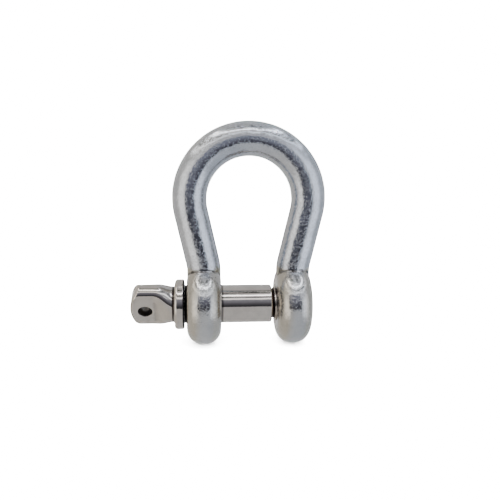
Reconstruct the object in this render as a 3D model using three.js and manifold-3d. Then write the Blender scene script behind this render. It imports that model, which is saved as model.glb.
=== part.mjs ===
// Bow shackle with a screw pin, in millimetres, +Z up through the crown of the bow.
// The pin lies along X: its spade head is at -X and its thread ends in the eye at +X.
import * as THREE from 'three';
import { mergeVertices } from 'three/addons/utils/BufferGeometryUtils.js';
import Module from 'manifold-3d';

const wasm = await Module();
wasm.setup();

const degree = Math.PI / 180;

// The bow. Heights are measured from the pin's axis.
const barDiameter = 9.8;
const crownRadius = 17.0; // centre line of the round bar
const crownHeight = 30.7; // centre of the crown's arc
const legLean = 13 * degree; // each leg leans in towards its eye
const kneeLength = 1.2; // from the bend at a leg's foot to where its curve starts
const jawWidth = 16.0; // clear width between the two eyes
const eyeDiameter = 23.2;
const eyeThickness = 9.9;
const eyeRimRadius = 4.3;
const eyeX = (jawWidth + eyeThickness) / 2;
const eyeOuterX = jawWidth / 2 + eyeThickness;
const plainBoreDiameter = 11.7;
const boreChamfer = 0.6;
const tapCountersinkDiameter = 11.6;

// The pin.
const pinDiameter = 11.1;
const collarDiameter = 14.6;
const collarThickness = 2.8;
const collarGap = 0.7; // between the collar and the eye, the pin not hauled tight
const collarX = -eyeOuterX - collarGap;
const shoulderX = 6.7; // where the plain shank stops
const shoulderRadius = 0.5;
const sectionGap = 0.05; // between the pin's three lengths

// The spade head, flat across its thickness.
const neckDiameter = 10.4;
const spadeLength = 12.7;
const spadeWidth = 14.2;
const spadeThickness = 5.8;
const spadeShoulder = 5; // from the neck to where the spade is at its widest
const spadeSweep = 6.2; // from the neck to where the spade is at its thinnest
const spadeCorner = 3; // how far back the curved end starts
const spadeEdgeRadius = 2.2; // round of the end, seen from the side
const spadeTilt = 32 * degree; // the flat faces forward and down
const lanyardHoleDiameter = 4.0;
const lanyardHoleFromEnd = 4.3;

// M10 x 1.5 thread, with working clearance in the eye.
const threadPitch = 1.5;
const threadRadius = 5.0;
const threadRootRadius = 4.15;
const threadCrestWidth = 0.25;
const threadEndX = eyeOuterX - 0.5;
const threadClearance = 0.2;
const threadEndChamfer = 0.8;
const threadReliefLength = 0.5;

// The model stands on its eyes, with its origin under the middle of its outline.
const crownOuterX = crownRadius + barDiameter / 2;
const neckX = collarX - collarThickness; // where the spade's neck leaves the collar
const rootX = collarX - collarThickness / 2; // the spade is rooted inside the collar
const spadeEndX = neckX - spadeLength;
const originX = (crownOuterX + spadeEndX) / 2;

// Facets.
const barSides = 24;
const barSteps = 60;
const eyeSides = 48;
const rimSteps = 4;
const threadSides = 24;
const cornerSteps = 4;

function solid(geometry) {
  const bare = geometry.index ? geometry.toNonIndexed() : geometry.clone();
  bare.deleteAttribute('normal');
  bare.deleteAttribute('uv');
  const merged = mergeVertices(bare, 1e-4);
  const mesh = new wasm.Mesh({
    numProp: 3,
    vertProperties: new Float32Array(merged.attributes.position.array),
    triVerts: new Uint32Array(merged.index.array),
  });
  return new wasm.Manifold(mesh);
}

function geometryOf(manifold) {
  const mesh = manifold.getMesh();
  const geometry = new THREE.BufferGeometry();
  geometry.setAttribute('position', new THREE.BufferAttribute(mesh.vertProperties, 3));
  geometry.setIndex(new THREE.BufferAttribute(mesh.triVerts, 1));
  geometry.computeVertexNormals();
  return geometry;
}

// Points of an arc about (x, radius), from one angle to another.
function arc(x, radius, size, from, to, steps) {
  return Array.from({ length: steps + 1 }, (_, i) => {
    const angle = from + ((to - from) * i) / steps;
    return new THREE.Vector2(radius + size * Math.sin(angle), x + size * Math.cos(angle));
  });
}

// A solid of revolution about X. Each point is a Vector2 of radius and x.
function turned(points, sides) {
  const geometry = new THREE.LatheGeometry(points, sides);
  geometry.rotateZ(-90 * degree);
  return geometry;
}

function point(radius, x) {
  return new THREE.Vector2(radius, x);
}

// The centre line of the bar, from the left eye over the crown to the right eye.
class BowLine extends THREE.Curve {
  constructor() {
    super();
    const endX = crownRadius * Math.cos(legLean);
    const endZ = crownHeight - crownRadius * Math.sin(legLean);
    const kneeZ = endZ - (endX - eyeX) / Math.tan(legLean);
    const aboveX = eyeX + kneeLength * Math.sin(legLean);
    const aboveZ = kneeZ + kneeLength * Math.cos(legLean);
    this.path = new THREE.Path();
    this.path.moveTo(-eyeX, 0);
    this.path.lineTo(-eyeX, kneeZ - kneeLength);
    this.path.quadraticCurveTo(-eyeX, kneeZ, -aboveX, aboveZ);
    this.path.lineTo(-endX, endZ);
    this.path.absarc(0, crownHeight, crownRadius, Math.PI + legLean, -legLean, true);
    this.path.lineTo(aboveX, aboveZ);
    this.path.quadraticCurveTo(eyeX, kneeZ, eyeX, kneeZ - kneeLength);
    this.path.lineTo(eyeX, 0);
  }

  getPoint(t, target = new THREE.Vector3()) {
    const flat = this.path.getPointAt(t);
    return target.set(flat.x, 0, flat.y);
  }
}

function bar() {
  const section = new THREE.Shape();
  section.absarc(0, 0, barDiameter / 2, 0, 2 * Math.PI);
  return new THREE.ExtrudeGeometry(section, {
    steps: barSteps,
    curveSegments: barSides / 2,
    extrudePath: new BowLine(),
  });
}

// One eye: a thick disc with a rounded rim.
function eye(x) {
  const flatRadius = eyeDiameter / 2 - eyeRimRadius;
  const inner = x - eyeThickness / 2;
  const outer = x + eyeThickness / 2;
  const points = [
    point(0, inner),
    ...arc(inner + eyeRimRadius, flatRadius, eyeRimRadius, Math.PI, Math.PI / 2, rimSteps),
    ...arc(outer - eyeRimRadius, flatRadius, eyeRimRadius, Math.PI / 2, 0, rimSteps),
    point(0, outer),
  ];
  return turned(points, eyeSides);
}

// A cutter for a round bore whose mouth opens to mouthRadius on each side of an eye.
function boreCutter(radius, mouthRadius, inner, outer) {
  const past = (mouthRadius - radius) / boreChamfer;
  return turned([
    point(0, inner - 1),
    point(mouthRadius + past, inner - 1),
    point(radius, inner + boreChamfer),
    point(radius, outer - boreChamfer),
    point(mouthRadius + past, outer + 1),
    point(0, outer + 1),
  ], eyeSides);
}

// A right-hand threaded rod about X. Its rows of points follow the helix, four to a turn.
function threadedRod(rootRadius, crestRadius, crestWidth, fromX, toX) {
  const rise = (crestRadius - rootRadius) * Math.tan(30 * degree);
  const row = [
    [-crestWidth / 2 - rise, rootRadius],
    [-crestWidth / 2, crestRadius],
    [crestWidth / 2, crestRadius],
    [crestWidth / 2 + rise, rootRadius],
  ];
  const firstTurn = Math.floor(fromX / threadPitch) - 1;
  const lastTurn = Math.ceil(toX / threadPitch) + 1;
  const rows = [];
  for (let turn = firstTurn; turn <= lastTurn; turn += 1) {
    row.forEach(([x, radius]) => rows.push([turn * threadPitch + x, radius]));
  }
  const positions = [];
  rows.forEach(([x, radius]) => {
    for (let side = 0; side < threadSides; side += 1) {
      const part = side / threadSides;
      const angle = part * 2 * Math.PI;
      positions.push(x + part * threadPitch, radius * Math.cos(angle), radius * Math.sin(angle));
    }
  });
  // A whole turn further on is the same place four rows later.
  const at = (r, side) => {
    const furtherOn = row.length * Math.floor(side / threadSides);
    return (r + furtherOn) * threadSides + (side % threadSides);
  };
  const triangles = [];
  const topRow = rows.length - 1 - row.length;
  for (let r = 0; r < topRow; r += 1) {
    for (let side = 0; side < threadSides; side += 1) {
      triangles.push(at(r, side), at(r, side + 1), at(r + 1, side));
      triangles.push(at(r, side + 1), at(r + 1, side + 1), at(r + 1, side));
    }
  }
  // Each end is a fan from the axis to the last turn of the helix and its step.
  const end = (r, flip) => {
    const centre = positions.length / 3;
    positions.push(rows[r][0] + threadPitch / 2, 0, 0);
    const loop = [];
    for (let side = 0; side <= threadSides; side += 1) loop.push(at(r, side));
    for (let back = row.length - 1; back > 0; back -= 1) loop.push(at(r + back, 0));
    loop.forEach((corner, i) => {
      const next = loop[(i + 1) % loop.length];
      triangles.push(centre, ...(flip ? [next, corner] : [corner, next]));
    });
  };
  end(0, true);
  end(topRow, false);
  const geometry = new THREE.BufferGeometry();
  geometry.setAttribute('position', new THREE.Float32BufferAttribute(positions, 3));
  geometry.setIndex(triangles);
  return geometry;
}

function bowBody() {
  const inner = jawWidth / 2;
  const plainRadius = plainBoreDiameter / 2;
  const tapRadius = threadRootRadius + threadClearance;
  const plainBore = boreCutter(plainRadius, plainRadius + boreChamfer, -eyeOuterX, -inner);
  const tapBore = boreCutter(tapRadius, tapCountersinkDiameter / 2, inner, eyeOuterX);
  const tap = threadedRod(
    tapRadius,
    threadRadius + threadClearance,
    threadCrestWidth + threadClearance,
    inner,
    eyeOuterX,
  );
  return solid(bar())
    .add(solid(eye(-eyeX)))
    .add(solid(eye(eyeX)))
    .subtract(solid(plainBore))
    .subtract(solid(tapBore))
    .subtract(solid(tap));
}

// Plain length of the pin, from the collar to the shoulder.
function pinShank() {
  const radius = pinDiameter / 2;
  return solid(turned([
    point(0, collarX + sectionGap),
    point(radius, collarX + sectionGap),
    ...arc(shoulderX - shoulderRadius, radius - shoulderRadius, shoulderRadius, Math.PI / 2, 0, 3),
    point(0, shoulderX),
  ], eyeSides));
}

function pinThread() {
  const startX = shoulderX + sectionGap;
  const reliefX = startX + threadReliefLength;
  const rod = threadedRod(threadRootRadius, threadRadius, threadCrestWidth, startX, threadEndX);
  const envelope = turned([
    point(0, startX),
    point(threadRootRadius, startX),
    point(threadRootRadius, reliefX),
    point(threadRadius + 1, reliefX + 1),
    point(threadRadius + 1, threadEndX - threadEndChamfer - 1),
    point(threadRadius - threadEndChamfer, threadEndX),
    point(0, threadEndX),
  ], eyeSides);
  return solid(rod).intersect(solid(envelope));
}

// A plate of the given outline, thick enough to cut the spade's blank right across.
function plate(outline) {
  const depth = 2 * spadeWidth;
  const settings = { depth, bevelEnabled: false, curveSegments: cornerSteps };
  return new THREE.ExtrudeGeometry(outline, settings).translate(0, 0, -depth / 2);
}

// The outline of the spade seen square on to its flat: x along the pin, y across.
function spadePlan() {
  const half = spadeWidth / 2;
  const neck = neckDiameter / 2;
  const wideX = neckX - spadeShoulder;
  const cornerX = spadeEndX + spadeCorner;
  const ease = 0.4 * spadeShoulder;
  const endEase = 0.3 * spadeCorner;
  const outline = new THREE.Shape();
  outline.moveTo(rootX, -neck);
  outline.lineTo(rootX, neck);
  outline.lineTo(neckX, neck);
  outline.bezierCurveTo(neckX - ease, neck, wideX + ease, half, wideX, half);
  outline.lineTo(cornerX, half);
  outline.bezierCurveTo(spadeEndX + endEase, half, spadeEndX, half / 2, spadeEndX, 0);
  outline.bezierCurveTo(spadeEndX, -half / 2, spadeEndX + endEase, -half, cornerX, -half);
  outline.lineTo(wideX, -half);
  outline.bezierCurveTo(wideX + ease, -half, neckX - ease, -neck, neckX, -neck);
  return plate(outline);
}

// The outline of the spade from its edge: the round neck sweeps in to the flat.
function spadeSide() {
  const half = spadeThickness / 2;
  const neck = neckDiameter / 2;
  const sweepX = neckX - 0.4;
  const flatX = sweepX - spadeSweep;
  const ease = 0.25 * spadeSweep;
  const drop = 0.9;
  const roundX = spadeEndX + spadeEdgeRadius;
  const roundY = half - spadeEdgeRadius;
  const outline = new THREE.Shape();
  outline.moveTo(rootX, -neck);
  outline.lineTo(rootX, neck);
  outline.lineTo(sweepX, neck);
  outline.bezierCurveTo(sweepX - ease, neck - drop, flatX + 2 * ease, half, flatX, half);
  outline.lineTo(roundX, half);
  outline.absarc(roundX, roundY, spadeEdgeRadius, Math.PI / 2, Math.PI, false);
  outline.lineTo(spadeEndX, -roundY);
  outline.absarc(roundX, -roundY, spadeEdgeRadius, Math.PI, 1.5 * Math.PI, false);
  outline.lineTo(flatX, -half);
  outline.bezierCurveTo(flatX + 2 * ease, -half, sweepX - ease, drop - neck, sweepX, -neck);
  return plate(outline).rotateX(90 * degree);
}

// The round stock that the spade is forged from, which rounds its edges.
function spadeStock() {
  const neck = neckDiameter / 2;
  const wideRadius = spadeWidth / 2 + 0.25;
  return turned([
    point(0, spadeEndX - 1),
    point(wideRadius, spadeEndX - 1),
    point(wideRadius, neckX - spadeShoulder),
    point(neck + 0.4, neckX - 0.3 * spadeShoulder),
    point(neck, neckX),
    point(neck, rootX),
    point(0, rootX),
  ], eyeSides);
}

function collar() {
  const radius = collarDiameter / 2;
  const neck = neckDiameter / 2;
  const outerRound = 1.4;
  const innerRound = 0.5;
  const fillet = 0.8;
  return turned([
    point(0, neckX - fillet),
    point(neck, neckX - fillet),
    point(neck + fillet, neckX),
    ...arc(neckX + outerRound, radius - outerRound, outerRound, Math.PI, Math.PI / 2, 5),
    ...arc(collarX - innerRound, radius - innerRound, innerRound, Math.PI / 2, 0, 2),
    point(0, collarX),
  ], eyeSides);
}

function lanyardHole() {
  const radius = lanyardHoleDiameter / 2;
  const geometry = new THREE.CylinderGeometry(radius, radius, 2 * spadeWidth, threadSides);
  geometry.rotateX(90 * degree);
  return geometry.translate(spadeEndX + lanyardHoleFromEnd, 0, 0);
}

function pinHead() {
  const spade = solid(spadePlan())
    .intersect(solid(spadeSide()))
    .intersect(solid(spadeStock()))
    .subtract(solid(lanyardHole()));
  const tilted = solid(geometryOf(spade).rotateX(90 * degree + spadeTilt));
  return solid(collar()).add(tilted);
}

function piece(name, manifold, colour, roughness) {
  const material = new THREE.MeshStandardMaterial({ color: colour, roughness, metalness: 1 });
  const mesh = new THREE.Mesh(geometryOf(manifold), material);
  mesh.name = name;
  return mesh;
}

// The model is drawn about the middle of the pin's axis, then placed on its origin.
const shackle = new THREE.Group();
const aboutPin = new THREE.Group();
aboutPin.position.set(-originX, 0, eyeDiameter / 2);
aboutPin.add(piece('bow_body', bowBody(), '#a9acb1', 0.32));
aboutPin.add(piece('pin_head', pinHead(), '#b7b2ab', 0.22));
aboutPin.add(piece('pin_shank', pinShank(), '#bdb8b1', 0.18));
aboutPin.add(piece('pin_thread', pinThread(), '#a39d94', 0.35));
shackle.add(aboutPin);

export default shackle;
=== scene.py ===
import math
import bpy
from mathutils import Matrix, Vector

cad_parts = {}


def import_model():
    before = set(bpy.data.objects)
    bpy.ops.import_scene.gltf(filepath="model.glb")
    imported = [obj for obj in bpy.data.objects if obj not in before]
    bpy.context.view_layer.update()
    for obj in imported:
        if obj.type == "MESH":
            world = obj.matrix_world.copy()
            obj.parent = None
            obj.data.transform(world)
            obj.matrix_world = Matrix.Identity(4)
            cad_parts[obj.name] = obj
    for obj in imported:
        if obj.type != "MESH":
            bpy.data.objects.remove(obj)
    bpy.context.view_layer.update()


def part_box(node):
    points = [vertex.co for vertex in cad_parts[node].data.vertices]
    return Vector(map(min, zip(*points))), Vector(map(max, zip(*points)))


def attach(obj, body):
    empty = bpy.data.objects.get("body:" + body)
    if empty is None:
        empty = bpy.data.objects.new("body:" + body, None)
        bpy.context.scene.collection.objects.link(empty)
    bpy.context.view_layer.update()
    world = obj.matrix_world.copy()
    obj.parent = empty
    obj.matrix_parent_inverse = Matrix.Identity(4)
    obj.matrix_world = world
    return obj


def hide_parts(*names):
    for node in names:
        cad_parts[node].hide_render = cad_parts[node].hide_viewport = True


# Bow shackle with a screw pin: the finished surfaces, built about the pin's axis.
# Sizes are in millimetres until MM turns them to metres.

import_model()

MM = 0.001
bow_low, bow_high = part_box("bow_body")
shank_low, shank_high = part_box("pin_shank")
head_low, head_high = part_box("pin_head")
thread_low, thread_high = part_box("pin_thread")

# The middle of the bow on the pin's axis. Lengths along X and heights are counted from it.
CENTRE = Vector(((bow_low.x + bow_high.x) / 2, 0, (shank_low.z + shank_high.z) / 2))


def x_of(corner):
    return (corner.x - CENTRE.x) / MM


# The bow.
BAR_RADIUS = 4.9
CROWN_RADIUS = (bow_high.x - bow_low.x) / 2 / MM - BAR_RADIUS
CROWN_HEIGHT = (bow_high.z - CENTRE.z) / MM - CROWN_RADIUS - BAR_RADIUS
LEG_LEAN = math.radians(13)
EYE_RADIUS = (CENTRE.z - bow_low.z) / MM
EYE_THICKNESS = 9.9
EYE_X = 12.95
EYE_RIM = 4.3
KNEE = 1.2
PLAIN_BORE = 5.85
TAPPED_BORE = 4.35
COUNTERSINK = 5.8
BORE_CHAMFER = 0.6

# The pin.
PIN_RADIUS = (shank_high.z - shank_low.z) / 2 / MM
COLLAR_X = x_of(head_high)
SHOULDER_X = x_of(shank_high)
SPADE_END_X = x_of(head_low)
THREAD_END_X = x_of(thread_high)
COLLAR_RADIUS = 7.3
COLLAR_THICKNESS = 2.8
NECK_X = COLLAR_X - COLLAR_THICKNESS
NECK_RADIUS = 5.2
ROOT_X = COLLAR_X - COLLAR_THICKNESS / 2
SPADE_WIDTH = 14.2
SPADE_THICKNESS = 5.8
SPADE_TILT = math.radians(32)
SPADE_SWEEP = 6.2
SPADE_SHOULDER = 5.0
SPADE_STEPS = 24
SPADE_CORNER = 3.4
SPADE_END_RADIUS = 11.0
HOLE_RADIUS = 2.0
HOLE_X = SPADE_END_X + 4.3
GAP_X = (COLLAR_X - EYE_X - EYE_THICKNESS / 2) / 2

# M10 x 1.5 thread.
PITCH = 1.5
THREAD_RADIUS = 5.0
ROOT_RADIUS = 4.15
THREAD_CLEARANCE = 0.2
THREAD_PHASE = -0.55


# ---- modelling helpers -------------------------------------------------------------------

def at(x, y=0.0, z=0.0):
    """A point given in millimetres from the middle of the pin's axis."""
    return CENTRE + Vector((x, y, z)) * MM


def only(obj):
    bpy.ops.object.select_all(action="DESELECT")
    obj.select_set(True)
    bpy.context.view_layer.objects.active = obj


def start(name):
    """Names the primitive just added, puts its place in its mesh and opens it for editing."""
    obj = bpy.context.object
    obj.name = name
    obj.data.name = name
    only(obj)
    bpy.ops.object.transform_apply(location=True, rotation=True, scale=True)
    bpy.ops.object.mode_set(mode="EDIT")
    return obj


def close(obj):
    """Merges doubles, turns the faces outwards and leaves edit mode."""
    bpy.ops.mesh.select_all(action="SELECT")
    bpy.ops.mesh.remove_doubles(threshold=0.001 * MM)
    bpy.ops.mesh.normals_make_consistent(inside=False)
    bpy.ops.object.mode_set(mode="OBJECT")
    return obj


def pick(obj, test, kind="EDGE"):
    """Selects the vertices, edges or faces whose points all pass the test."""
    bpy.ops.mesh.select_mode(type=kind)
    bpy.ops.mesh.select_all(action="DESELECT")
    bpy.ops.object.mode_set(mode="OBJECT")
    mesh = obj.data
    good = [test((v.co - CENTRE) / MM) for v in mesh.vertices]
    if kind == "VERT":
        for v in mesh.vertices:
            v.select = good[v.index]
    elif kind == "EDGE":
        for e in mesh.edges:
            e.select = all(good[i] for i in e.vertices)
    else:
        for f in mesh.polygons:
            f.select = all(good[i] for i in f.vertices)
    bpy.ops.object.mode_set(mode="EDIT")


def upright(p, x):
    """True where a point lies on the plane across the pin at x."""
    return abs(p.x - x) < 0.01


def modify(obj, kind, **settings):
    """Adds a modifier and applies it."""
    only(obj)
    modifier = obj.modifiers.new(kind.lower(), kind)
    for key, value in settings.items():
        setattr(modifier, key, value)
    bpy.ops.object.modifier_apply(modifier=modifier.name)


def cut(obj, tool, operation="DIFFERENCE"):
    modify(obj, "BOOLEAN", operation=operation, object=tool, solver="EXACT")
    bpy.data.objects.remove(tool)


def weld(obj, others):
    """Joins overlapping pieces into one object. The remesh that follows makes them one skin."""
    bpy.ops.object.select_all(action="DESELECT")
    for other in others:
        other.select_set(True)
    obj.select_set(True)
    bpy.context.view_layer.objects.active = obj
    bpy.ops.object.join()


def cast(obj, grain, passes):
    """One even skin over welded pieces, with the soft corners of a casting or forging."""
    modify(obj, "REMESH", mode="VOXEL", voxel_size=grain * MM)
    modify(obj, "SMOOTH", factor=0.5, iterations=passes)


def arc(x, radius, size, start_angle, end_angle, steps):
    """Points (x, radius) on an arc about a point, angles in degrees from +X towards outwards."""
    turn = [math.radians(start_angle + (end_angle - start_angle) * i / steps) for i in range(steps + 1)]
    return [(x + size * math.cos(a), radius + size * math.sin(a)) for a in turn]


def turned(name, profile, sides=144):
    """A solid of revolution on the pin's axis. Its profile is a list of (x, radius)."""
    x, radius = profile[0]
    bpy.ops.mesh.primitive_circle_add(vertices=sides, radius=radius * MM, fill_type="NGON",
                                      location=at(x), rotation=(0, math.pi / 2, 0))
    obj = start(name)
    bpy.ops.mesh.select_all(action="SELECT")
    for next_x, next_radius in profile[1:]:
        bpy.ops.mesh.extrude_region_move(TRANSFORM_OT_translate={"value": ((next_x - x) * MM, 0, 0)})
        scale = next_radius / radius
        bpy.ops.transform.resize(value=(1, scale, scale), center_override=at(next_x))
        x, radius = next_x, next_radius
    return close(obj)


def smooth(obj, angle=40):
    only(obj)
    bpy.ops.object.shade_smooth_by_angle(angle=math.radians(angle))


# ---- the bow ------------------------------------------------------------------------------

def bow_bar():
    """The round bar, drawn from the left eye over the crown and down into the right eye."""
    foot = 2.0
    knee_radius = KNEE / math.tan(LEG_LEAN / 2)
    end_x = CROWN_RADIUS * math.cos(LEG_LEAN)
    end_z = CROWN_HEIGHT - CROWN_RADIUS * math.sin(LEG_LEAN)
    knee_z = end_z - (end_x - EYE_X) / math.tan(LEG_LEAN)
    leg = (end_x - EYE_X) / math.sin(LEG_LEAN) - KNEE
    up = knee_z - KNEE - foot
    lean = Vector((math.sin(LEG_LEAN), 0, math.cos(LEG_LEAN)))
    bpy.ops.mesh.primitive_circle_add(vertices=96, radius=BAR_RADIUS * MM, fill_type="NGON",
                                      location=at(-EYE_X, 0, foot))
    obj = start("bow_body_finish")
    bpy.ops.mesh.select_all(action="SELECT")

    def go(vector):
        bpy.ops.mesh.extrude_region_move(TRANSFORM_OT_translate={"value": vector * MM})

    def bend(angle, centre, steps):
        bpy.ops.mesh.spin(steps=steps, angle=angle, center=centre, axis=(0, 1, 0))

    go(Vector((0, 0, up)))
    bend(LEG_LEAN, at(-EYE_X - knee_radius, 0, knee_z - KNEE), 12)
    go(Vector((-lean.x, 0, lean.z)) * leg)
    bend(-math.pi - 2 * LEG_LEAN, at(0, 0, CROWN_HEIGHT), 160)
    go(Vector((-lean.x, 0, -lean.z)) * leg)
    bend(LEG_LEAN, at(EYE_X + knee_radius, 0, knee_z - KNEE), 12)
    go(Vector((0, 0, -up)))
    return close(obj)


def eye(x):
    """A thick disc whose rim is rolled round."""
    bpy.ops.mesh.primitive_cylinder_add(vertices=160, radius=EYE_RADIUS * MM, depth=EYE_THICKNESS * MM,
                                        location=at(x), rotation=(0, math.pi / 2, 0))
    obj = start("eye")
    for face in (x - EYE_THICKNESS / 2, x + EYE_THICKNESS / 2):
        pick(obj, lambda p: upright(p, face))
        bpy.ops.mesh.bevel(offset=EYE_RIM * MM, segments=16, profile=0.5)
    return close(obj)


def bore_tool(radius, mouth, inner, outer):
    """A drill with a flare at each end, which opens the bore to its mouth on both faces of an eye."""
    past = 1.0
    flare = mouth + (mouth - radius) / BORE_CHAMFER * past
    return turned("bore_tool", [(inner - past, flare), (inner + BORE_CHAMFER, radius),
                                (outer - BORE_CHAMFER, radius), (outer + past, flare)])


def thread_form(name, root, crest, width, from_x, to_x):
    """A right-hand helical ridge about the pin's axis: one pitch of its outline, screwed along."""
    rise = (crest - root) * math.tan(math.radians(30))
    first = math.floor(from_x / PITCH) - 1
    turns = math.ceil(to_x / PITCH) + 1 - first
    outline = [(-width / 2 - rise, root), (-width / 2, crest), (width / 2, crest),
               (width / 2 + rise, root), (PITCH - width / 2 - rise, root)]
    points = [Vector((first * PITCH + THREAD_PHASE + x, radius, 0)) for x, radius in outline]
    bpy.ops.mesh.primitive_plane_add(size=MM, location=at(*points[0]))
    obj = start(name)
    bpy.ops.mesh.select_mode(type="VERT")
    bpy.ops.mesh.select_all(action="SELECT")
    bpy.ops.mesh.merge(type="CENTER")
    for here, there in zip(points, points[1:]):
        bpy.ops.mesh.extrude_vertices_move(TRANSFORM_OT_translate={"value": (there - here) * MM})
    bpy.ops.object.mode_set(mode="OBJECT")
    bpy.context.scene.cursor.location = CENTRE
    bpy.ops.object.origin_set(type="ORIGIN_CURSOR")
    modify(obj, "SCREW", axis="X", steps=96, render_steps=96, iterations=turns, screw_offset=PITCH * MM,
           use_merge_vertices=True, merge_threshold=0.005 * MM)
    bpy.ops.object.transform_apply(location=True, rotation=True, scale=True)
    bpy.ops.object.mode_set(mode="EDIT")
    bpy.ops.mesh.select_mode(type="EDGE")
    bpy.ops.mesh.select_all(action="DESELECT")
    bpy.ops.mesh.select_non_manifold(extend=False, use_wire=False, use_multi_face=False,
                                     use_non_contiguous=False, use_verts=False)
    bpy.ops.mesh.fill_holes(sides=0)
    return close(obj)


def bow_body():
    inner = EYE_X - EYE_THICKNESS / 2
    outer = EYE_X + EYE_THICKNESS / 2
    bow = bow_bar()
    weld(bow, [eye(-EYE_X), eye(EYE_X)])
    cast(bow, grain=0.3, passes=3)
    cut(bow, bore_tool(PLAIN_BORE, PLAIN_BORE + BORE_CHAMFER, -outer, -inner))
    cut(bow, bore_tool(TAPPED_BORE, COUNTERSINK, inner, outer))
    cut(bow, thread_form("tap", root=TAPPED_BORE - 0.1, crest=THREAD_RADIUS + THREAD_CLEARANCE, width=0.45,
                         from_x=inner, to_x=outer))
    return bow


# ---- the pin ------------------------------------------------------------------------------

def pin_shank():
    edge = 0.5
    chamfer = 0.2
    return turned("pin_shank_finish", [
        (x_of(shank_low), PIN_RADIUS - chamfer),
        (x_of(shank_low) + chamfer, PIN_RADIUS),
        *arc(SHOULDER_X - edge, PIN_RADIUS - edge, edge, 90, 0, 8),
    ])


def pin_thread():
    start_x = x_of(thread_low)
    relief = 0.35
    run_in = 0.6
    chamfer = 0.8
    spare = 1
    rod = thread_form("pin_thread_finish", root=ROOT_RADIUS, crest=THREAD_RADIUS, width=0.42,
                      from_x=start_x, to_x=THREAD_END_X)
    envelope = turned("envelope", [
        (start_x, ROOT_RADIUS),
        (start_x + relief, ROOT_RADIUS),
        (start_x + relief + run_in, THREAD_RADIUS + spare),
        (THREAD_END_X - chamfer - spare, THREAD_RADIUS + spare),
        (THREAD_END_X, THREAD_RADIUS - chamfer),
    ])
    cut(rod, envelope, "INTERSECT")
    return rod


def collar():
    outer_round = 0.9
    inner_round = 0.5
    fillet = 0.35
    return turned("pin_head_finish", [
        (NECK_X - fillet, NECK_RADIUS),
        (NECK_X, NECK_RADIUS + fillet),
        *arc(NECK_X + outer_round, COLLAR_RADIUS - outer_round, outer_round, 180, 90, 10),
        *arc(COLLAR_X - inner_round, COLLAR_RADIUS - inner_round, inner_round, 90, 0, 5),
    ])


def ease(part):
    """Runs from 0 to 1 with a soft start and a soft end."""
    part = min(max(part, 0), 1)
    return part * part * (3 - 2 * part)


def mix(near, far, part):
    return near + (far - near) * part


def part_halves(obj, x, distance):
    """Moves the two halves of the section at x apart, each by the distance given."""
    for side in (-1, 1):
        pick(obj, lambda p: upright(p, x) and p.y * side > 0.01, "VERT")
        bpy.ops.transform.translate(value=(0, side * distance * MM, 0))


def spade_blank():
    """The neck drawn out flat: a round section whose two halves part while its edge gets thinner."""
    bpy.ops.mesh.primitive_circle_add(vertices=64, radius=NECK_RADIUS * MM, fill_type="NGON",
                                      location=at(ROOT_X), rotation=(0, math.pi / 2, 0))
    obj = start("spade")
    x, edge, spread = ROOT_X, NECK_RADIUS, 0
    for i in range(SPADE_STEPS + 1):
        part = i / SPADE_STEPS
        next_x = mix(NECK_X, SPADE_END_X - 1, part)
        along = NECK_X - next_x
        next_edge = mix(NECK_RADIUS, SPADE_THICKNESS / 2, ease(along / SPADE_SWEEP))
        half_width = mix(NECK_RADIUS, SPADE_WIDTH / 2, ease(along / SPADE_SHOULDER))
        next_spread = half_width - next_edge
        if i > 0:
            pick(obj, lambda p: upright(p, x), "FACE")
        else:
            bpy.ops.mesh.select_all(action="SELECT")
        bpy.ops.mesh.extrude_region_move(TRANSFORM_OT_translate={"value": ((next_x - x) * MM, 0, 0)})
        part_halves(obj, next_x, -spread)
        pick(obj, lambda p: upright(p, next_x), "VERT")
        scale = next_edge / edge
        bpy.ops.transform.resize(value=(1, scale, scale), center_override=at(next_x))
        part_halves(obj, next_x, next_spread)
        x, edge, spread = next_x, next_edge, next_spread
    return close(obj)


def end_shape():
    """The outline of the spade's end, seen square on: a shallow curve between rounded corners."""
    length = ROOT_X - SPADE_END_X
    bpy.ops.mesh.primitive_cube_add(size=MM, location=at(ROOT_X - length / 2),
                                    scale=(length, SPADE_WIDTH + 1, 2 * SPADE_WIDTH))
    obj = start("end_shape")
    for side in (-1, 1):
        pick(obj, lambda p: upright(p, SPADE_END_X) and p.y * side > 0)
        bpy.ops.mesh.bevel(offset=SPADE_CORNER * MM, segments=12, profile=0.5)
    close(obj)
    bpy.ops.mesh.primitive_cylinder_add(vertices=160, radius=SPADE_END_RADIUS * MM,
                                        depth=3 * SPADE_WIDTH * MM,
                                        location=at(SPADE_END_X + SPADE_END_RADIUS))
    cut(obj, close(start("end_curve")), "INTERSECT")
    return obj


def spade():
    """The flat head, trimmed to its end shape, softened as a forging is, and drilled."""
    blade = spade_blank()
    cut(blade, end_shape(), "INTERSECT")
    cast(blade, grain=0.16, passes=40)
    bpy.ops.mesh.primitive_cylinder_add(vertices=64, radius=HOLE_RADIUS * MM, depth=2 * SPADE_WIDTH * MM,
                                        location=at(HOLE_X))
    cut(blade, close(start("drill")))
    return blade


def pin_head():
    head = collar()
    blade = spade()
    only(blade)
    bpy.ops.object.mode_set(mode="EDIT")
    bpy.ops.mesh.select_all(action="SELECT")
    bpy.ops.transform.rotate(value=-math.pi / 2 - SPADE_TILT, orient_axis="X", center_override=CENTRE)
    bpy.ops.object.mode_set(mode="OBJECT")
    weld(head, [blade])
    cast(head, grain=0.14, passes=8)
    return head


# ---- materials ----------------------------------------------------------------------------

def colour(hex_value):
    """An sRGB hex colour as the linear colour that a shader takes."""
    parts = [int(hex_value[i:i + 2], 16) / 255 for i in (1, 3, 5)]
    return (*[c / 12.92 if c <= 0.04045 else ((c + 0.055) / 1.055) ** 2.4 for c in parts], 1)


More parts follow.
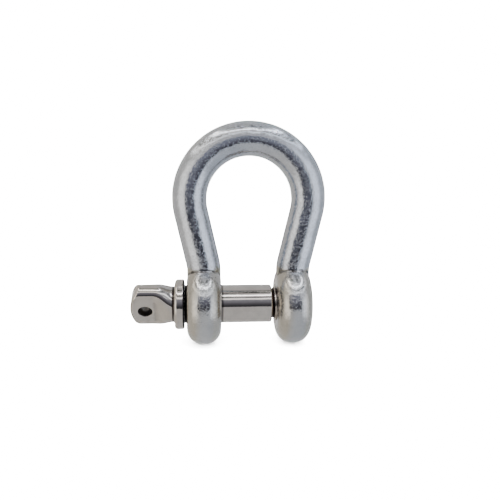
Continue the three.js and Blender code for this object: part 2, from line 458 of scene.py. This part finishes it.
def add(tree, kind, output, settings=None, **inputs):
    """Adds a node and returns one of its outputs. An input takes a value or another node's output."""
    node = tree.nodes.new("ShaderNode" + kind)
    for key, value in (settings or {}).items():
        setattr(node, key, value)
    for key, value in inputs.items():
        socket = node.inputs[int(key[1:])] if key[1:].isdigit() else node.inputs[key.replace("_", " ")]
        if isinstance(value, bpy.types.NodeSocket):
            tree.links.new(value, socket)
        else:
            socket.default_value = value
    return node.outputs[output]


def new_metal(name):
    material = bpy.data.materials.new(name)
    material.use_nodes = True
    tree = material.node_tree
    tree.nodes["Principled BSDF"].inputs["Metallic"].default_value = 1.0
    return material, tree


def dress(tree, **inputs):
    """Gives the metal its colour, roughness and surface."""
    shader = tree.nodes["Principled BSDF"]
    for key, value in inputs.items():
        socket = shader.inputs[key.replace("_", " ")]
        if isinstance(value, bpy.types.NodeSocket):
            tree.links.new(value, socket)
        else:
            socket.default_value = value


MIX_COLOUR = {"data_type": "RGBA"}
MIX_INTO = {"data_type": "RGBA", "blend_type": "MULTIPLY"}
EASED = {"interpolation_type": "SMOOTHSTEP"}


def about_the_pin(tree, place):
    """The place from the middle of the pin, its distance along the pin and its distance off the axis."""
    about_pin = add(tree, "VectorMath", "Vector", {"operation": "SUBTRACT"}, i0=place, i1=CENTRE)
    along = add(tree, "SeparateXYZ", "X", Vector=about_pin)
    across = add(tree, "VectorMath", "Vector", {"operation": "MULTIPLY"}, i0=about_pin, i1=(0, 1, 1))
    from_axis = add(tree, "VectorMath", "Value", {"operation": "LENGTH"}, i0=across)
    return about_pin, along, from_axis


def near(tree, value, middle, reach, core, most=1.0):
    """Most where a value lies within core of the middle, easing to nothing at reach."""
    off = add(tree, "Math", "Value", {"operation": "SUBTRACT"}, i0=value, i1=float(middle))
    off = add(tree, "Math", "Value", {"operation": "ABSOLUTE"}, i0=off)
    return add(tree, "MapRange", "Result", EASED, Value=off, From_Min=float(reach), From_Max=float(core),
               To_Max=float(most))


def hollow_shade_and_dirt(tree):
    """1 in the sharp hollows that mark_crevices found, 0 in the open. It darkens the colour there: painted
    shade in the hollows, together with some dirt.
    """
    tone = add(tree, "Attribute", "Fac", {"attribute_name": "crevice"})
    return add(tree, "MapRange", "Result", Value=tone, From_Min=0.9, From_Max=0.4)


def painted_gap_shadow(tree, along, from_axis):
    """Painted shadow: the narrow gap between the collar and the eye is coloured black where shade falls."""
    across_gap = near(tree, along, GAP_X * MM, reach=0.85 * MM, core=0.6 * MM)
    within = add(tree, "MapRange", "Result", EASED, Value=from_axis,
                 From_Min=(COLLAR_RADIUS + 0.3) * MM, From_Max=(COLLAR_RADIUS - 0.1) * MM)
    return add(tree, "Math", "Value", {"operation": "MULTIPLY"}, i0=across_gap, i1=within)


def painted_hole_shade(tree, about_pin):
    """Painted shade makes the drilled wall of the lanyard hole dark."""
    from_hole = add(tree, "VectorMath", "Vector", {"operation": "SUBTRACT"}, i0=about_pin,
                    i1=(HOLE_X * MM, 0, 0))
    from_hole = add(tree, "VectorMath", "Vector", {"operation": "CROSS_PRODUCT"}, i0=from_hole,
                    i1=(0, math.cos(SPADE_TILT), math.sin(SPADE_TILT)))
    from_hole = add(tree, "VectorMath", "Value", {"operation": "LENGTH"}, i0=from_hole)
    return add(tree, "MapRange", "Result", EASED, Value=from_hole, From_Min=(HOLE_RADIUS + 0.2) * MM,
               From_Max=(HOLE_RADIUS - 0.05) * MM, To_Max=0.65)


def open_pits(tree, place, on_eye, clouds):
    """Casting pits: ragged, a little flattened, in patches, and nearly all on the eyes."""
    ragged = add(tree, "TexNoise", "Color", Vector=place, Scale=1 / (0.5 * MM), Detail=2.0)
    ragged = add(tree, "VectorMath", "Vector", {"operation": "SCALE"}, i0=ragged, i3=0.9 * MM)
    ragged = add(tree, "VectorMath", "Vector", {"operation": "ADD"}, i0=place, i1=ragged)
    flattened = add(tree, "Mapping", "Vector", Vector=ragged, Scale=(0.55, 1, 1))
    size = add(tree, "TexVoronoi", "Distance", Vector=flattened, Scale=1 / (2.2 * MM))
    pits = add(tree, "MapRange", "Result", EASED, Value=size, From_Min=0.16, From_Max=0.09)
    where = add(tree, "MapRange", "Result", Value=on_eye, To_Min=0.1, To_Max=0.9)
    pits = add(tree, "Math", "Value", {"operation": "MULTIPLY"}, i0=pits, i1=where)
    patches = add(tree, "MapRange", "Result", Value=clouds, From_Min=0.46, From_Max=0.54)
    return add(tree, "Math", "Value", {"operation": "MULTIPLY"}, i0=pits, i1=patches)


def casting_surface(tree, place, pits):
    """Slow ripples left by the buffing, a fine orange peel, shallow dimples, and the pits."""
    ripple = add(tree, "TexNoise", "Fac", Vector=place, Scale=1 / (3.2 * MM), Detail=1.0)
    peel = add(tree, "TexNoise", "Fac", Vector=place, Scale=1 / (0.45 * MM), Detail=3.0, Roughness=0.65)
    dimples = add(tree, "TexNoise", "Fac", Vector=place, Scale=1 / (0.42 * MM), Detail=2.0)
    dimples = add(tree, "MapRange", "Result", EASED, Value=dimples, From_Min=0.52, From_Max=0.66)
    surface = add(tree, "Bump", "Normal", Height=ripple, Strength=1.0, Distance=0.13 * MM)
    surface = add(tree, "Bump", "Normal", Height=peel, Strength=1.0, Distance=0.03 * MM, Normal=surface)
    surface = add(tree, "Bump", "Normal", Height=dimples, Strength=1.0, Distance=0.02 * MM, Normal=surface)
    return add(tree, "Bump", "Normal", {"invert": True}, Height=pits, Strength=1.0, Distance=0.1 * MM,
               Normal=surface)


def cast_steel():
    """Cast stainless, tumbled and buffed. The buffing leaves a cool mirror with a fine orange peel;
    the eyes, where the wheel reaches less, are warmer and more satin, with a few open pits."""
    material, tree = new_metal("cast_stainless_steel")
    place = add(tree, "TexCoord", "Object")
    along, from_axis = about_the_pin(tree, place)[1:]
    on_eye = add(tree, "MapRange", "Result", EASED, Value=from_axis, From_Min=12.1 * MM, From_Max=10.9 * MM)
    clouds = add(tree, "TexNoise", "Fac", Vector=place, Scale=1 / (5 * MM), Detail=4.0, Roughness=0.65)
    pits = open_pits(tree, place, on_eye, clouds)
    patches = add(tree, "TexNoise", "Fac", Vector=place, Scale=1 / (1.6 * MM), Detail=2.0)
    patches = add(tree, "MapRange", "Result", Value=patches, From_Min=0.38, From_Max=0.6, To_Min=0.15)
    # Darker colour in the sharp hollows, in patches: partly painted shade, partly dirt.
    shade_and_dirt = add(tree, "Math", "Value", {"operation": "MULTIPLY"}, i0=hollow_shade_and_dirt(tree), i1=patches)
    cloudy = add(tree, "MapRange", "Result", Value=clouds, From_Min=0.3, From_Max=0.7, To_Min=0.82)
    base = add(tree, "Mix", 2, MIX_COLOUR, i0=on_eye, i6=colour("#b9bdc4"), i7=colour("#b5b1a8"))
    base = add(tree, "Mix", 2, MIX_INTO, i0=1.0, i6=base, i7=cloudy)
    base = add(tree, "Mix", 2, MIX_COLOUR, i0=shade_and_dirt, i6=base, i7=colour("#2b2825"))
    base = add(tree, "Mix", 2, MIX_COLOUR, i0=pits, i6=base, i7=colour("#34302d"))
    # Painted shadow: the bow is coloured black in the gap by the collar.
    gap = painted_gap_shadow(tree, along, from_axis)
    base = add(tree, "Mix", 2, MIX_COLOUR, i0=gap, i6=base, i7=colour("#050505"))
    satin = add(tree, "MapRange", "Result", Value=on_eye, To_Min=0.07, To_Max=0.12)
    uneven = add(tree, "MapRange", "Result", Value=clouds, From_Min=0.3, From_Max=0.7, To_Min=-0.03,
                 To_Max=0.06)
    rough = add(tree, "Math", "Value", {"operation": "ADD"}, i0=satin, i1=uneven)
    dress(tree, Base_Color=base, Roughness=rough, Normal=casting_surface(tree, place, pits))
    return material


def pin_steel(name, mark_length, mark_depth):
    """Stainless bar, forged or turned, then polished brighter and warmer than the casting. Painted shade
    makes it dark in its hole, in the gap by the collar and where the shank leaves the plain eye."""
    material, tree = new_metal(name)
    place = add(tree, "TexCoord", "Object")
    about_pin, along, from_axis = about_the_pin(tree, place)
    mouth_x = EYE_THICKNESS / 2 - EYE_X
    # Painted shade: a dark ring on the shank where the plain eye's mouth shades it.
    at_mouth = near(tree, along, mouth_x * MM, reach=0.75 * MM, core=0.35 * MM, most=0.7)
    in_hole = painted_hole_shade(tree, about_pin)
    in_gap = painted_gap_shadow(tree, along, from_axis)
    painted_shade = add(tree, "Math", "Value", {"operation": "MAXIMUM"}, i0=in_hole, i1=at_mouth)
    painted_shade = add(tree, "Math", "Value", {"operation": "MAXIMUM"}, i0=painted_shade, i1=in_gap)
    clouds = add(tree, "TexNoise", "Fac", Vector=place, Scale=1 / (3 * MM), Detail=4.0, Roughness=0.6)
    cloudy = add(tree, "MapRange", "Result", Value=clouds, From_Min=0.3, From_Max=0.7, To_Min=0.85)
    base = add(tree, "Mix", 2, MIX_INTO, i0=1.0, i6=colour("#bfb9b2"), i7=cloudy)
    # Darker colour in the sharp hollows: partly painted shade, partly dirt.
    base = add(tree, "Mix", 2, MIX_COLOUR, i0=hollow_shade_and_dirt(tree), i6=base, i7=colour("#241f1d"))
    # Painted shade: near black in the hole, the gap and at the eye's mouth.
    base = add(tree, "Mix", 2, MIX_COLOUR, i0=painted_shade, i6=base, i7=colour("#060505"))
    rough = add(tree, "MapRange", "Result", Value=clouds, From_Min=0.3, From_Max=0.7, To_Min=0.05,
                To_Max=0.13)
    ripple = add(tree, "TexNoise", "Fac", Vector=place, Scale=1 / (2.4 * MM), Detail=1.0)
    stretched = add(tree, "Mapping", "Vector", Vector=place, Scale=(1, mark_length, mark_length))
    marks = add(tree, "TexNoise", "Fac", Vector=stretched, Scale=1 / (0.22 * MM), Detail=2.0)
    surface = add(tree, "Bump", "Normal", Height=ripple, Strength=1.0, Distance=0.02 * MM)
    surface = add(tree, "Bump", "Normal", Height=marks, Strength=1.0, Distance=mark_depth * MM,
                  Normal=surface)
    dress(tree, Base_Color=base, Roughness=rough, Normal=surface)
    return material


def thread_steel():
    """A cut thread: bright on the crests, with painted shade and a brown stain dark in the roots."""
    material, tree = new_metal("cut_stainless_thread")
    place = add(tree, "TexCoord", "Object")
    from_axis = about_the_pin(tree, place)[2]
    clouds = add(tree, "TexNoise", "Fac", Vector=place, Scale=1 / (0.8 * MM), Detail=3.0)
    crest = add(tree, "MapRange", "Result", EASED, Value=from_axis, From_Min=(ROOT_RADIUS + 0.25) * MM,
                From_Max=(THREAD_RADIUS - 0.3) * MM)
    cloudy = add(tree, "MapRange", "Result", Value=clouds, From_Min=0.3, From_Max=0.7, To_Min=0.7)
    # Dark brown in the roots: partly painted shade in the thread's hollows, partly brown stain.
    base = add(tree, "Mix", 2, MIX_COLOUR, i0=crest, i6=colour("#2c1e1b"), i7=colour("#c8beb6"))
    base = add(tree, "Mix", 2, MIX_INTO, i0=1.0, i6=base, i7=cloudy)
    rough = add(tree, "MapRange", "Result", Value=crest, To_Min=0.5, To_Max=0.22)
    surface = add(tree, "Bump", "Normal", Height=clouds, Strength=1.0, Distance=0.01 * MM)
    dress(tree, Base_Color=base, Roughness=rough, Normal=surface)
    return material


def mark_crevices(obj):
    """Stores on each vertex a tone that is 1 in the open and falls towards 0 in a sharp hollow."""
    only(obj)
    obj.data.color_attributes.new("crevice", "FLOAT_COLOR", "POINT")
    obj.data.color_attributes.active_color_name = "crevice"
    bpy.ops.paint.vertex_color_dirt(blur_strength=0.5, blur_iterations=1, clean_angle=math.radians(98),
                                    dirt_angle=math.radians(82), dirt_only=True, normalize=False)


def finish(obj, material, body, cad_node):
    obj.data.materials.clear()
    obj.data.materials.append(material)
    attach(obj, body)
    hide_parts(cad_node)


# ---- the studio ---------------------------------------------------------------------------

def floor():
    """A white floor that sweeps up into a wall all round. The steel sees the grey tent instead."""
    radius, height, sweep = 1.6, 2, 0.8
    bpy.ops.mesh.primitive_cylinder_add(vertices=128, radius=radius, depth=height,
                                        location=(0, 0, height / 2))
    obj = start("floor")
    pick(obj, lambda p: p.z > height / MM / 2, "FACE")
    bpy.ops.mesh.delete(type="FACE")
    pick(obj, lambda p: p.z < height / MM / 2)
    bpy.ops.mesh.bevel(offset=sweep, segments=24)
    bpy.ops.object.mode_set(mode="OBJECT")
    bpy.ops.object.shade_smooth()
    material = bpy.data.materials.new("white_floor")
    material.use_nodes = True
    shader = material.node_tree.nodes["Principled BSDF"]
    shader.inputs["Base Color"].default_value = colour("#f6f6f6")
    shader.inputs["Roughness"].default_value = 1.0
    obj.data.materials.append(material)
    obj.visible_glossy = False


def softbox(name, place, aim, size, power):
    """A big soft light for the floor and the backdrop, hidden from the steel."""
    light = bpy.data.lights.new(name, "AREA")
    light.size = size
    light.energy = power
    obj = bpy.data.objects.new(name, light)
    bpy.context.scene.collection.objects.link(obj)
    obj.location = place
    obj.rotation_mode = "QUATERNION"
    obj.rotation_quaternion = (Vector(aim) - Vector(place)).to_track_quat("-Z", "Y")
    obj.visible_camera = False
    obj.visible_glossy = False


def lens_card():
    """The dark shape of the camera and the hands that hold it, as the steel sees them. It is darkest at
    the bottom and paler towards the top."""
    left, right, low, high = -84, 54, -11, 75
    ahead = 108
    darkest, palest = 0.05, 0.5
    bpy.ops.mesh.primitive_plane_add(size=MM, location=at((left + right) / 2, -ahead, (low + high) / 2),
                                     rotation=(math.pi / 2, 0, 0))
    bpy.context.object.scale = (right - left, high - low, 1)
    obj = start("lens_card")
    bpy.ops.object.mode_set(mode="OBJECT")
    material = bpy.data.materials.new("lens_card")
    material.use_nodes = True
    tree = material.node_tree
    place = add(tree, "TexCoord", "Object")
    height = add(tree, "SeparateXYZ", "Z", Vector=place)
    strength = add(tree, "MapRange", "Result", EASED, Value=height, From_Min=CENTRE.z + low * MM,
                   From_Max=CENTRE.z + high * MM, To_Min=darkest, To_Max=palest)
    glow = add(tree, "Emission", "Emission", Color=colour("#e8eaff"), Strength=strength)
    tree.links.new(glow, tree.nodes["Material Output"].inputs["Surface"])
    obj.data.materials.append(material)
    obj.visible_camera = False
    obj.visible_diffuse = False
    obj.visible_shadow = False


def camera():
    """A close camera, a little above the pin and a little to its left."""
    distance = 163 * MM
    azimuth, elevation, roll = (math.radians(a) for a in (-4.7, 9.6, 0.56))
    pin_right, pin_down = -0.54 * MM, 15.7 * MM
    back = Vector((math.sin(azimuth) * math.cos(elevation), -math.cos(azimuth) * math.cos(elevation),
                   math.sin(elevation)))
    right = Vector((math.cos(azimuth), math.sin(azimuth), 0))
    up = back.cross(right)
    right, up = (right * math.cos(roll) + up * math.sin(roll), up * math.cos(roll) - right * math.sin(roll))
    data = bpy.data.cameras.new("camera")
    data.sensor_width = 36
    data.lens = 39.8
    data.clip_start, data.clip_end = 0.005, 20
    obj = bpy.data.objects.new("camera", data)
    bpy.context.scene.collection.objects.link(obj)
    turn = Matrix((right, up, back)).transposed().to_4x4()
    place = CENTRE + back * distance - right * pin_right + up * pin_down
    obj.matrix_world = Matrix.Translation(place) @ turn
    bpy.context.scene.camera = obj


# What the tent looks like from the shackle. Each strip or seam overhead has a height in degrees above
# the horizon, a half width, and how much brighter or darker than the grey cloth it is.
TENT_BANDS = ((41, 4, 2.6), (50, 3.5, -0.62), (62, 4, 9), (79, 4, -0.82))
TENT_GREY = 0.92

# The bands run round the front only, and end between these bearings either side of straight ahead.
BANDS_FULL = 95
BANDS_END = 125

# The two front walls glow: how far aside, how wide and how high the glow is, in degrees.
WALL_BEARING = 52
WALL_CORE, WALL_REACH = 12, 34
WALL_CORE_HEIGHT, WALL_HEIGHT = 16, 36
WALL_GLOW = 1.4


def world():
    """A grey light tent. Two bright strips run round it overhead, and its front walls glow."""
    made = bpy.data.worlds.new("light_tent")
    made.use_nodes = True
    tree = made.node_tree
    look = add(tree, "TexCoord", "Generated")
    right = add(tree, "SeparateXYZ", "X", Vector=look)
    back = add(tree, "SeparateXYZ", "Y", Vector=look)
    up = add(tree, "SeparateXYZ", "Z", Vector=look)
    height = add(tree, "Math", "Value", {"operation": "ARCSINE"}, i0=up)
    height = add(tree, "Math", "Value", {"operation": "DEGREES"}, i0=height)
    ahead = add(tree, "Math", "Value", {"operation": "MULTIPLY"}, i0=back, i1=-1.0)
    bearing = add(tree, "Math", "Value", {"operation": "ARCTAN2"}, i0=right, i1=ahead)
    bearing = add(tree, "Math", "Value", {"operation": "DEGREES"}, i0=bearing)
    aside = add(tree, "Math", "Value", {"operation": "ABSOLUTE"}, i0=bearing)
    in_front = near(tree, aside, 0, BANDS_END, BANDS_FULL)
    strength = TENT_GREY
    for middle, half, change in TENT_BANDS:
        band = near(tree, height, middle, half, half * 0.4, change)
        strength = add(tree, "Math", "Value", {"operation": "MULTIPLY_ADD"}, i0=band, i1=in_front,
                       i2=strength)
    wall = near(tree, aside, WALL_BEARING, WALL_REACH, WALL_CORE, WALL_GLOW)
    low = near(tree, height, 0, WALL_HEIGHT, WALL_CORE_HEIGHT)
    strength = add(tree, "Math", "Value", {"operation": "MULTIPLY_ADD"}, i0=wall, i1=low, i2=strength)
    tint = add(tree, "MapRange", "Result", Value=right, From_Min=-0.6, From_Max=0.6)
    shade = add(tree, "Mix", 2, MIX_COLOUR, i0=tint, i6=colour("#fffaf2"), i7=colour("#eef4ff"))
    background = tree.nodes["Background"]
    tree.links.new(strength, background.inputs["Strength"])
    tree.links.new(shade, background.inputs["Color"])
    bpy.context.scene.world = made


camera()
world()
floor()
lens_card()
softbox("floor_light", (0, -0.3, 1.2), (0, 0.3, 0), 1.6, 220)
softbox("backdrop_light", (0, -0.6, 0.9), (0, 1.5, 0.7), 1.2, 300)
softbox("wall_light", (0, 0.6, 0.9), (0, -1.5, 0.7), 1.2, 300)

bow = bow_body()
head = pin_head()
shank = pin_shank()
thread = pin_thread()
for piece in (bow, head, shank, thread):
    smooth(piece)
    mark_crevices(piece)
finish(bow, cast_steel(), "bow", "bow_body")
forged = pin_steel("forged_stainless_steel", mark_length=1.0, mark_depth=0.003)
finish(head, forged, "pin_turning", "pin_head")
lathed = pin_steel("turned_stainless_steel", mark_length=0.12, mark_depth=0.002)
finish(shank, lathed, "pin", "pin_shank")
finish(thread, thread_steel(), "pin_turning", "pin_thread")
